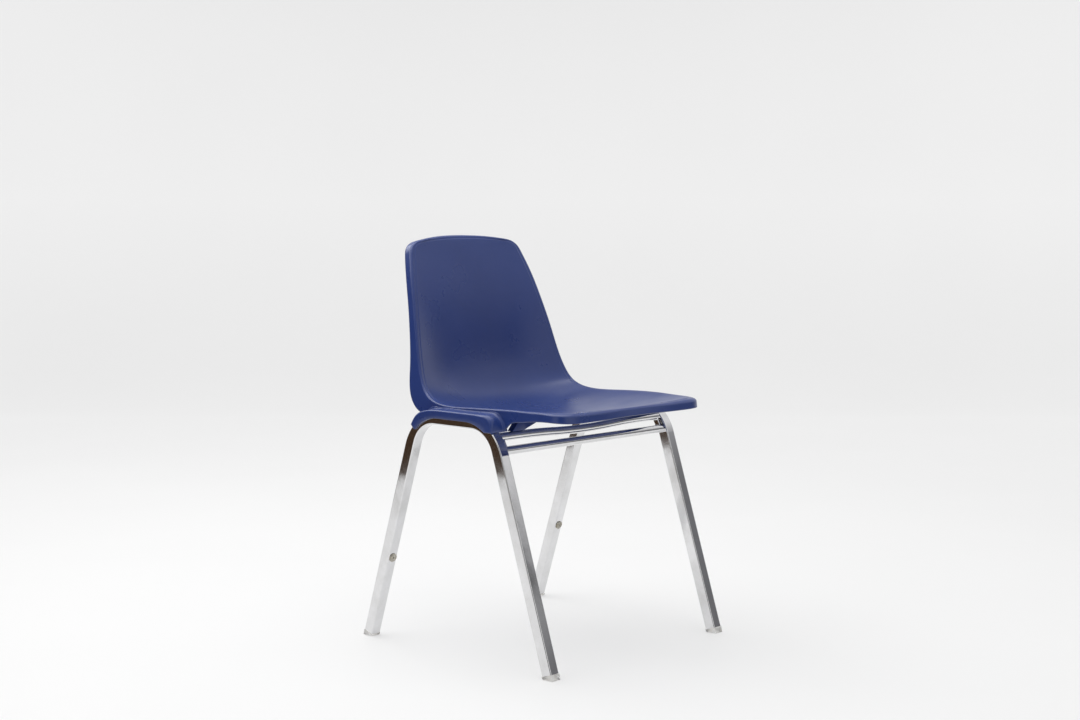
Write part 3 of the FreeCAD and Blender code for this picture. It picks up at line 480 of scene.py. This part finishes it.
# ---------------------------------------------------------- under the seat

def panel_middle(x, y):
    """Height of the middle of the seat's wall over a point."""
    points = panel_grid()[0].reshape(-1, 3)
    seat = points[points[:, 2] < SEAT_HIGH]
    nearest = np.linalg.norm(seat[:, :2] - np.array([x, y]), axis=1).argmin()
    return seat[nearest, 2] - WALL / 2


def bevelled(vertices, faces, width):
    """The same closed solid with rounded edges."""
    mesh = bmesh.new()
    corners = [mesh.verts.new(v) for v in vertices]
    for face in faces:
        mesh.faces.new([corners[k] for k in face])
    bmesh.ops.bevel(mesh, geom=mesh.edges[:], offset=width, segments=3, profile=0.5,
                    affect="EDGES")
    mesh.verts.index_update()
    points = np.array([v.co[:] for v in mesh.verts])
    loops = [tuple(v.index for v in face.verts) for face in mesh.faces]
    mesh.free()
    return points, loops


def prism(outline, lift):
    """A closed solid from a counter-clockwise outline of points pushed along a vector."""
    count = len(outline)
    points = np.vstack([outline, np.asarray(outline) + np.asarray(lift)])
    faces = [tuple(range(count))[::-1], tuple(range(count, 2 * count))]
    for k in range(count):
        n = (k + 1) % count
        faces.append((k, n, count + n, count + k))
    return points, faces


def make_rib(side):
    """The rib that stands on one end of the front upper bar."""
    low = BAR_Z + BAR_RADIUS + SADDLE_GAP
    outline = [(side * (RIB_X - RIB_FOOT), low), (side * RIB_X, low)]
    for x in np.linspace(RIB_X - RIB_LEAN, RIB_TOE, RIB_POINTS):
        outline.append((side * x, panel_middle(side * x, BAR_Y) - RIB_DIP))
    points = [(x, BAR_Y + side * RIB_HALF, z) for x, z in outline]
    return bevelled(*prism(points, (0, -2 * side * RIB_HALF, 0)), RIB_EDGE)


def make_boss(side):
    """The boss that stands on one end of the rear bar."""
    around = np.linspace(0, 2 * math.pi, BOSS_SIDES, endpoint=False)
    outline = [(side * SCREW_X + BOSS_RADIUS * math.cos(t),
                BOSS_Y + BOSS_RADIUS * math.sin(t), BOSS_FOOT) for t in around]
    height = panel_middle(side * SCREW_X, BOSS_Y) - BOSS_FOOT
    return bevelled(*prism(outline, (0, 0, height)), BOSS_EDGE)


def merge(parts):
    """One list of points and one of faces from several (points, faces) solids."""
    points = []
    faces = []
    start = 0
    for vertices, part_faces in parts:
        points.append(vertices)
        faces += [tuple(int(v) + start for v in face) for face in part_faces]
        start += len(vertices)
    return np.vstack(points), faces


def make_shell():
    """The whole moulding: skin, saddles, hollows beside them, ribs and bosses."""
    solids = [make_skin()]
    for side in (1, -1):
        solids += [make_saddle(side), make_valley(side), make_rib(side), make_boss(side)]
    points, faces = merge(solids)
    return new_mesh("shell_moulding", points, faces)


# ------------------------------------------------------------------- materials

DIAGONAL = 0.7              # each of x and y in a step of about 1 along the diagonal


class Nodes:
    """A material's node tree with short calls to add and join nodes."""

    def __init__(self, name):
        self.material = bpy.data.materials.new(name)
        self.material.use_nodes = True
        self.tree = self.material.node_tree
        self.tree.nodes.clear()
        self.output = self.tree.nodes.new("ShaderNodeOutputMaterial")
        self.shader = self.tree.nodes.new("ShaderNodeBsdfPrincipled")
        self.join(self.shader.outputs["BSDF"], self.output.inputs["Surface"])
        self.place = self.tree.nodes.new("ShaderNodeTexCoord").outputs["Object"]

    def join(self, source, target):
        self.tree.links.new(source, target)

    def set(self, **values):
        """Fixed values on the shader's own sockets."""
        for name, value in values.items():
            self.shader.inputs[name.replace("_", " ")].default_value = value

    def noise(self, scale, detail=4.0, roughness=0.5, stretch=None):
        node = self.tree.nodes.new("ShaderNodeTexNoise")
        node.inputs["Scale"].default_value = scale
        node.inputs["Detail"].default_value = detail
        node.inputs["Roughness"].default_value = roughness
        place = self.place
        if stretch:
            mapping = self.tree.nodes.new("ShaderNodeMapping")
            mapping.inputs["Scale"].default_value = stretch
            self.join(place, mapping.inputs["Vector"])
            place = mapping.outputs["Vector"]
        self.join(place, node.inputs["Vector"])
        return node.outputs["Fac"]

    def ramp(self, source, stops):
        """A colour or grey ramp from (position, value) stops."""
        node = self.tree.nodes.new("ShaderNodeValToRGB")
        elements = node.color_ramp.elements
        while len(elements) < len(stops):
            elements.new(0.5)
        for element, (position, value) in zip(elements, stops):
            element.position = position
            grey = isinstance(value, (int, float))
            element.color = (value, value, value, 1) if grey else (*value, 1)
        self.join(source, node.inputs["Fac"])
        return node.outputs["Color"]

    def mix(self, share, first, second):
        """Blend two colours by a share, which may be a number or a socket."""
        node = self.tree.nodes.new("ShaderNodeMix")
        node.data_type = "RGBA"
        for socket, value in ((node.inputs["Factor"], share), (node.inputs["A"], first),
                              (node.inputs["B"], second)):
            if isinstance(value, (int, float)):
                socket.default_value = value
            elif isinstance(value, tuple):
                socket.default_value = (*value, 1)
            else:
                self.join(value, socket)
        return node.outputs["Result"]

    def math(self, operation, first, second=0.0):
        node = self.tree.nodes.new("ShaderNodeMath")
        node.operation = operation
        for socket, value in zip(node.inputs, (first, second)):
            if isinstance(value, (int, float)):
                socket.default_value = value
            else:
                self.join(value, socket)
        return node.outputs["Value"]

    def bump(self, height, distance, strength=1.0, below=None):
        node = self.tree.nodes.new("ShaderNodeBump")
        node.inputs["Strength"].default_value = strength
        node.inputs["Distance"].default_value = distance
        self.join(height, node.inputs["Height"])
        if below:
            self.join(below, node.inputs["Normal"])
        return node.outputs["Normal"]

    def height(self, lean=0.0):
        """Height above the floor, less the lean times the way along the +X+Y diagonal."""
        place = self.tree.nodes.new("ShaderNodeNewGeometry").outputs["Position"]
        along = self.tree.nodes.new("ShaderNodeVectorMath")
        along.operation = "DOT_PRODUCT"
        along.inputs[1].default_value = (-DIAGONAL * lean, -DIAGONAL * lean, 1.0)
        self.join(place, along.inputs[0])
        return along.outputs["Value"]

    def scratches(self, scale, width=0.02):
        """Thin wandering lines: where a stretched noise crosses its middle value."""
        source = self.noise(scale, 2.0, 0.4, stretch=(1.0, 0.25, 1.0))
        distance = self.math("ABSOLUTE", self.math("SUBTRACT", source, 0.5))
        return self.ramp(distance, [(0.0, 1.0), (width, 0.0)])


def shell_plastic():
    """Navy polypropylene with a fine moulded grain, rubbed and dusty in places."""
    n = Nodes("navy_polypropylene")
    cloud = n.noise(6.0, 5.0, 0.55)
    colour = n.ramp(cloud, [(0.3, (0.016, 0.036, 0.158)), (0.7, (0.020, 0.043, 0.181))])
    wear = n.ramp(n.noise(38.0, 6.0, 0.6), [(0.62, 0.0), (0.8, 0.3)])
    colour = n.mix(wear, colour, (0.036, 0.055, 0.19))
    marks = n.scratches(24.0, 0.004)
    colour = n.mix(n.math("MULTIPLY", marks, 0.07), colour, (0.06, 0.08, 0.24))
    n.join(colour, n.shader.inputs["Base Color"])
    rough = n.ramp(n.noise(14.0, 4.0, 0.5), [(0.3, 0.26), (0.7, 0.34)])
    n.join(rough, n.shader.inputs["Roughness"])
    grain = n.noise(900.0, 2.0, 0.5)
    ripple = n.noise(30.0, 2.0, 0.5)
    normal = n.bump(grain, 0.0001, 0.25, n.bump(ripple, 0.0008, 0.12))
    n.join(normal, n.shader.inputs["Normal"])
    n.set(Specular_IOR_Level=0.5)
    return n.material


def chrome():
    """Bright chrome plating with fine hairlines, smudges and a few dull specks."""
    n = Nodes("worn_chrome")
    smudge = n.noise(22.0, 5.0, 0.6)
    colour = n.ramp(smudge, [(0.35, (0.80, 0.80, 0.81)), (0.7, (0.70, 0.70, 0.70))])
    specks = n.ramp(n.noise(420.0, 3.0, 0.6), [(0.70, 0.0), (0.78, 1.0)])
    colour = n.mix(n.math("MULTIPLY", specks, 0.35), colour, (0.32, 0.30, 0.28))
    n.join(colour, n.shader.inputs["Base Color"])
    hair = n.noise(60.0, 3.0, 0.5, stretch=(14.0, 14.0, 1.0))
    rough = n.math("ADD", n.ramp(smudge, [(0.35, 0.03), (0.75, 0.09)]),
                   n.math("MULTIPLY", hair, 0.05))
    n.join(rough, n.shader.inputs["Roughness"])
    n.join(n.bump(n.noise(35.0, 2.0, 0.5), 0.0004, 0.12), n.shader.inputs["Normal"])
    n.set(Metallic=1.0)
    return n.material


def clear_plastic(name, clean, stained, transmission):
    """Aged clear plastic: milky, stained in patches and scuffed."""
    n = Nodes(name)
    patches = n.noise(90.0, 5.0, 0.6)
    colour = n.ramp(patches, [(0.4, clean), (0.68, stained)])
    n.join(colour, n.shader.inputs["Base Color"])
    n.join(n.ramp(n.noise(160.0), [(0.3, 0.25), (0.7, 0.5)]), n.shader.inputs["Roughness"])
    n.join(n.bump(n.noise(300.0), 0.0003, 0.3), n.shader.inputs["Normal"])
    n.set(IOR=1.46, Transmission_Weight=transmission)
    return n.material


def zinc_steel():
    """Dull zinc plating on the screws."""
    n = Nodes("zinc_steel")
    blotch = n.noise(300.0, 4.0, 0.6)
    n.join(n.ramp(blotch, [(0.35, (0.56, 0.56, 0.53)), (0.7, (0.42, 0.41, 0.37))]),
           n.shader.inputs["Base Color"])
    n.join(n.ramp(blotch, [(0.3, 0.3), (0.7, 0.45)]), n.shader.inputs["Roughness"])
    n.join(n.bump(blotch, 0.0002, 0.3), n.shader.inputs["Normal"])
    n.set(Metallic=1.0)
    return n.material


def studio_white():
    """The pale floor and backdrop, which glow slightly so that they stay even."""
    n = Nodes("studio_white")
    tone = n.ramp(n.noise(1.5, 3.0, 0.5), [(0.3, 0.30), (0.7, 0.29)])
    n.join(tone, n.shader.inputs["Base Color"])
    glow = n.ramp(n.height(), [(0.02, 0.53), (0.9, 0.61)])
    n.join(glow, n.shader.inputs["Emission Color"])
    n.set(Roughness=0.6, Emission_Strength=1.0)
    return n.material


CARD_TOP = 2.6              # height over which a card's paint can change


def card_paint(name, stops, lean=0.0):
    """Matt paint that changes through (height, grey or colour) stops.

    With a lean the changes sit higher towards +X and +Y."""
    n = Nodes(name)
    share = n.math("DIVIDE", n.height(lean), CARD_TOP)
    colours = [(height / CARD_TOP, colour) for height, colour in stops]
    n.join(n.ramp(share, colours), n.shader.inputs["Base Color"])
    n.set(Roughness=0.9, Specular_IOR_Level=0.1)
    return n.material


def give(thing, material):
    thing.data.materials.clear()
    thing.data.materials.append(material)


def dress_frame():
    """Gives the CAD's own nodes their materials, by the last word of their names."""
    plated = chrome()
    glide = clear_plastic("clear_glide", (0.94, 0.94, 0.93), (0.74, 0.70, 0.64), 0.85)
    buffer = clear_plastic("aged_buffer", (0.80, 0.77, 0.68), (0.50, 0.44, 0.32), 0.45)
    fastener = zinc_steel()
    finishes = {"frame": plated, "crossbar": plated, "gusset": plated, "glide": glide,
                "buffer": buffer, "screw": fastener}
    for name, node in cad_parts.items():
        kind = name.split("_")[-1]
        if kind in finishes:
            give(node, finishes[kind])


# ----------------------------------------------------------------- the studio

CAMERA_AT = (-2.409, -2.239, 0.8219)
CAMERA_YAW = math.radians(46.978)
CAMERA_PITCH = math.radians(-4.834)
SENSOR = 36.0
FOCAL_LENGTH = 56.23

BROWN = (0.056, 0.032, 0.018)
DARK = (0.03, 0.03, 0.033)
GREY, PALE = (0.18, 0.18, 0.19), (0.80, 0.80, 0.81)
SWEEP_TURNS = 12


def make_sweep():
    """A pale floor that curves up into a backdrop behind the chair."""
    near, far, rise, radius, half = -6.0, 5.2, 3.2, 1.6, 7.0
    profile = [(near, 0.0), (far - radius, 0.0)]
    for step in range(1, SWEEP_TURNS + 1):
        turn = step / SWEEP_TURNS * math.pi / 2
        profile.append((far - radius + radius * math.sin(turn), radius * (1 - math.cos(turn))))
    profile.append((far, rise))
    ahead = Vector((math.sin(CAMERA_YAW), math.cos(CAMERA_YAW), 0))
    right = Vector((math.cos(CAMERA_YAW), -math.sin(CAMERA_YAW), 0))
    vertices = []
    for distance, height in profile:
        for side in (-half, half):
            vertices.append(tuple(ahead * distance + right * side + Vector((0, 0, height))))
    faces = [(2 * k, 2 * k + 1, 2 * k + 3, 2 * k + 2) for k in range(len(profile) - 1)]
    mesh = bpy.data.meshes.new("studio_sweep")
    mesh.from_pydata(vertices, [], faces)
    mesh.shade_smooth()
    sweep = bpy.data.objects.new("studio_sweep", mesh)
    bpy.context.scene.collection.objects.link(sweep)
    give(sweep, studio_white())


def make_card(name, centre, facing, width, height, paint):
    """An upright card that the chrome and the shell reflect, hidden from the camera itself."""
    yaw = math.atan2(facing[1], facing[0]) + math.pi / 2
    across = Vector((math.cos(yaw), math.sin(yaw), 0)) * (width / 2)
    up = Vector((0, 0, height / 2))
    middle = Vector(centre)
    corners = [middle - across - up, middle + across - up, middle + across + up,
               middle - across + up]
    mesh = bpy.data.meshes.new(name)
    mesh.from_pydata([tuple(c) for c in corners], [], [(0, 1, 2, 3)])
    card = bpy.data.objects.new(name, mesh)
    bpy.context.scene.collection.objects.link(card)
    give(card, paint)
    card.visible_camera = False


def plain(colour):
    """Paint stops for a card of one colour."""
    return [(0.0, colour), (1.0, colour)]


def make_cards():
    """The cards round the chair that set its reflections."""
    make_card("brown_card", (-1.67, 1.33, 0.94), (0.73, -0.68), 3.0, 1.8,
              card_paint("brown_paint", plain(BROWN)))
    make_card("dark_card", (-3.3, -3.1, 2.1), (0.73, 0.68), 3.4, 4.2,
              card_paint("dark_paint", plain(DARK)))
    make_card("grey_card", (2.0, -1.9, 1.3), (-0.76, 0.64), 2.8, 2.6,
              card_paint("grey_paint", [(0.66, GREY), (1.34, PALE)], lean=0.6))
    make_card("dark_flag", (1.56, -2.34, 1.08), (-0.76, 0.64), 0.66, 0.62,
              card_paint("flag_paint", plain(DARK)))
    make_card("gap_card", (2.9, 2.75, 3.05), (-0.72, -0.69), 4.4, 1.1,
              card_paint("gap_paint", plain(DARK)))


def area_light(name, at, towards, size, power):
    """A rectangular lamp that faces a point."""
    lamp = bpy.data.lights.new(name, "AREA")
    lamp.shape = "RECTANGLE"
    lamp.size, lamp.size_y = size
    lamp.energy = power
    thing = bpy.data.objects.new(name, lamp)
    thing.location = at
    direction = Vector(towards) - Vector(at)
    thing.rotation_euler = direction.to_track_quat("-Z", "Y").to_euler()
    bpy.context.scene.collection.objects.link(thing)


def make_lights():
    """Even light from all round and three soft boxes."""
    world = bpy.data.worlds.new("studio")
    world.use_nodes = True
    background = world.node_tree.nodes["Background"]
    background.inputs["Color"].default_value = (1.0, 1.0, 1.0, 1)
    background.inputs["Strength"].default_value = 0.8
    bpy.context.scene.world = world
    bpy.context.scene.view_settings.view_transform = "Standard"
    area_light("overhead", (-0.1, 0.2, 2.6), (0.0, 0.0, 0.4), (2.2, 2.2), 34)
    area_light("left_softbox", (-1.7, 0.9, 2.3), (0.0, 0.0, 0.5), (1.5, 1.2), 15)
    area_light("rear_softbox", (-0.5, 1.9, 2.3), (0.0, 0.0, 0.5), (2.0, 1.0), 22)


def make_camera():
    """A fixed camera, aimed by its yaw and pitch."""
    lens = bpy.data.cameras.new("camera")
    lens.sensor_width = SENSOR
    lens.lens = FOCAL_LENGTH
    camera = bpy.data.objects.new("camera", lens)
    camera.location = CAMERA_AT
    camera.rotation_euler = (math.pi / 2 + CAMERA_PITCH, 0, -CAMERA_YAW)
    bpy.context.scene.collection.objects.link(camera)
    bpy.context.scene.camera = camera


# -------------------------------------------------------------------- assembly

shell = make_shell()
give(shell, shell_plastic())
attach(shell, "root")
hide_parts("seat_shell")
dress_frame()
make_sweep()
make_cards()
make_lights()
make_camera()
